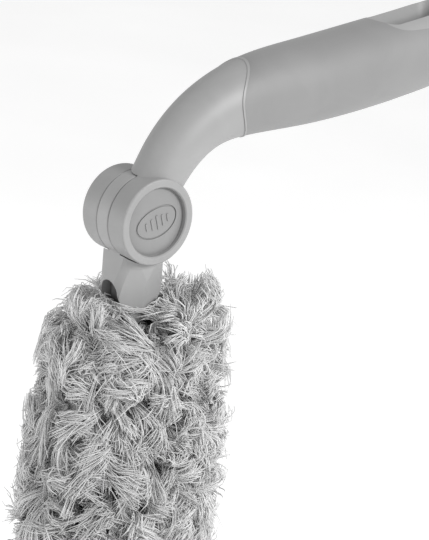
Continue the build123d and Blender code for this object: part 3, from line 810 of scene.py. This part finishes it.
def sectors_of(paths):
    """Which third of the pile each strand's root is in, counted round from the front one."""
    angle = np.arctan2(paths[:, 0, 1] - Core.centre_y, paths[:, 0, 0] - Core.centre_x)
    return (np.mod(angle - FRONT_SECTOR, ALL_ROUND) / ALL_ROUND * len(SECTORS)).astype(int)


def make_pile():
    """The strands, as one piece for each tone in each third of the pile."""
    rng = np.random.default_rng(SEED)
    paths, radii, tone_of = strand_paths(rng)
    sector_of = sectors_of(paths)
    for tone, lightness in enumerate(STRAND_TONES):
        material = strand_fibre(f"strand_tone_{tone + 1}", lightness)
        for sector, side in enumerate(SECTORS):
            chosen = (tone_of == tone) & (sector_of == sector)
            piece = tubes(f"pile_{side}_{tone + 1}", paths[chosen], radii[chosen], material)
            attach(piece, "sleeve")
            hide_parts("sleeve_pile")


def bag_ring(depth):
    """Corners of the bag's outer surface at a depth, from 0 at the mouth to 1 at the tip."""
    z = Core.top - (Core.top - Core.bottom) * depth
    share = float(Core.share(min(max(z, Core.bottom + TIP_MARGIN), Core.top - MOUTH_MARGIN)))
    angle = np.arange(BAG_CORNERS) * ALL_ROUND / BAG_CORNERS
    seams = SEAM_RELIEF * math.sin(ALL_ROUND * (Core.top - z) / ROW_STEP)
    gathers = (GATHER_RELIEF * np.sin(angle * GATHERS)) * max(0.0, 1 - depth * GATHER_FADE)
    grow = seams + gathers - BAG_INSET
    x = Core.centre_x + (Core.half_x * share + grow * share) * np.cos(angle)
    y = Core.centre_y + (Core.half_y * share + grow * share) * np.sin(angle)
    return np.stack([x, y, np.full(BAG_CORNERS, z)], axis=1)


def hem_rings(mouth):
    """The hem's inner rings: one below the mouth, and the mouth's own, both drawn in by the wall."""
    upper = mouth.copy()
    upper[:, 0] = Core.centre_x + (upper[:, 0] - Core.centre_x) * (1 - BAG_WALL / Core.half_x * HEM_WALL)
    upper[:, 1] = Core.centre_y + (upper[:, 1] - Core.centre_y) * (1 - BAG_WALL / Core.half_y * HEM_WALL)
    lower = upper.copy()
    lower[:, 2] -= HEM_DEPTH
    return [lower, upper]


def stacked_faces(rings, corners):
    """Corners of the faces between stacked rings, with a cap at each end, and each face's count."""
    first = np.arange(corners)
    loops = []
    for level in range(rings - 1):
        a = first + level * corners
        b = np.roll(a, -1)
        loops.append(np.stack([b, a, a + corners, b + corners], axis=1).ravel())
    last = first + (rings - 1) * corners
    loops += [last[::-1], first]
    counts = [4] * (corners * (rings - 1)) + [corners, corners]
    return np.concatenate(loops), counts


def make_bag():
    """Padded knitted bag under the pile, closed at the tip, with a gathered hem at its mouth."""
    outer = [bag_ring(i / (BAG_RINGS - 1)) for i in range(BAG_RINGS)]
    rings = hem_rings(outer[0]) + outer
    loops, counts = stacked_faces(len(rings), BAG_CORNERS)
    bag = mesh_object("sleeve_bag", np.concatenate(rings), loops, counts, knitted("knit_bag", 0.50, 420.0))
    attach(bag, "sleeve")
    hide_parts("sleeve_backing", "sleeve_cuff")


# ---------------------------------------------------------------- studio

def camera_axes():
    """Right, up and back axes of the camera."""
    azimuth, elevation, roll = (math.radians(angle) for angle in (AZIMUTH, ELEVATION, ROLL))
    level_part = math.cos(elevation)
    back = Vector((math.sin(azimuth) * level_part, -math.cos(azimuth) * level_part, math.sin(elevation)))
    level = Vector((0, 0, 1)).cross(back).normalized()
    rise = back.cross(level)
    right = level * math.cos(roll) + rise * math.sin(roll)
    up = rise * math.cos(roll) - level * math.sin(roll)
    return right, up, back


def make_camera():
    """The camera of the photo, aimed beside the hub."""
    right, up, back = camera_axes()
    data = bpy.data.cameras.new("camera")
    data.lens = LENS
    data.sensor_width = SENSOR
    data.clip_start = CLIP_START
    camera = bpy.data.objects.new("camera", data)
    turn = Matrix((right, up, back)).transposed().to_4x4()
    place = PIVOT + right * AIM_RIGHT + up * AIM_UP + back * DISTANCE
    camera.matrix_world = Matrix.Translation(place) @ turn
    bpy.context.scene.collection.objects.link(camera)
    bpy.context.scene.camera = camera


def area_light(name, direction, distance, size, watts):
    """Square soft light aimed at the hub from a direction in the camera's right, up and back axes."""
    right, up, back = camera_axes()
    way = (right * direction[0] + up * direction[1] + back * direction[2]).normalized()
    data = bpy.data.lights.new(name, "AREA")
    data.shape = "SQUARE"
    data.size = size
    data.energy = watts
    light = bpy.data.objects.new(name, data)
    light.location = PIVOT + way * distance
    light.rotation_euler = way.to_track_quat("Z", "Y").to_euler()
    bpy.context.scene.collection.objects.link(light)


def make_floor():
    """Wide floor below the sleeve's lowest place."""
    joints = {joint["name"]: joint for joint in frame["record"]["behaviour"]["joints"]}
    travel = joints["sleeve_pull"]["range_m"][1]
    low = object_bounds()[0].z - travel - FLOOR_GAP
    half = FLOOR_HALF
    corners = [(-half, -half), (half, -half), (half, half), (-half, half)]
    mesh = bpy.data.meshes.new("studio_floor")
    mesh.from_pydata([(x, y, low) for x, y in corners], [], [(0, 1, 2, 3)])
    mesh.materials.append(floor_paint())
    floor = bpy.data.objects.new("studio_floor", mesh)
    bpy.context.scene.collection.objects.link(floor)


def make_light():
    """Even white surroundings, a soft key from the right and a weaker fill from the left."""
    world = bpy.data.worlds.new("studio")
    world.use_nodes = True
    background = world.node_tree.nodes["Background"]
    background.inputs["Color"].default_value = (1, 1, 1, 1)
    background.inputs["Strength"].default_value = WORLD_STRENGTH
    bpy.context.scene.world = world
    bpy.context.scene.view_settings.view_transform = "Standard"
    area_light("key", direction=(1.5, 0.45, 1.0), distance=1.4, size=0.50, watts=15.0)
    area_light("side_fill", direction=(-1.2, -0.1, 0.25), distance=1.6, size=0.9, watts=8.0)


paint_cad_nodes()
make_bag()
make_pile()
make_camera()
make_floor()
make_light()
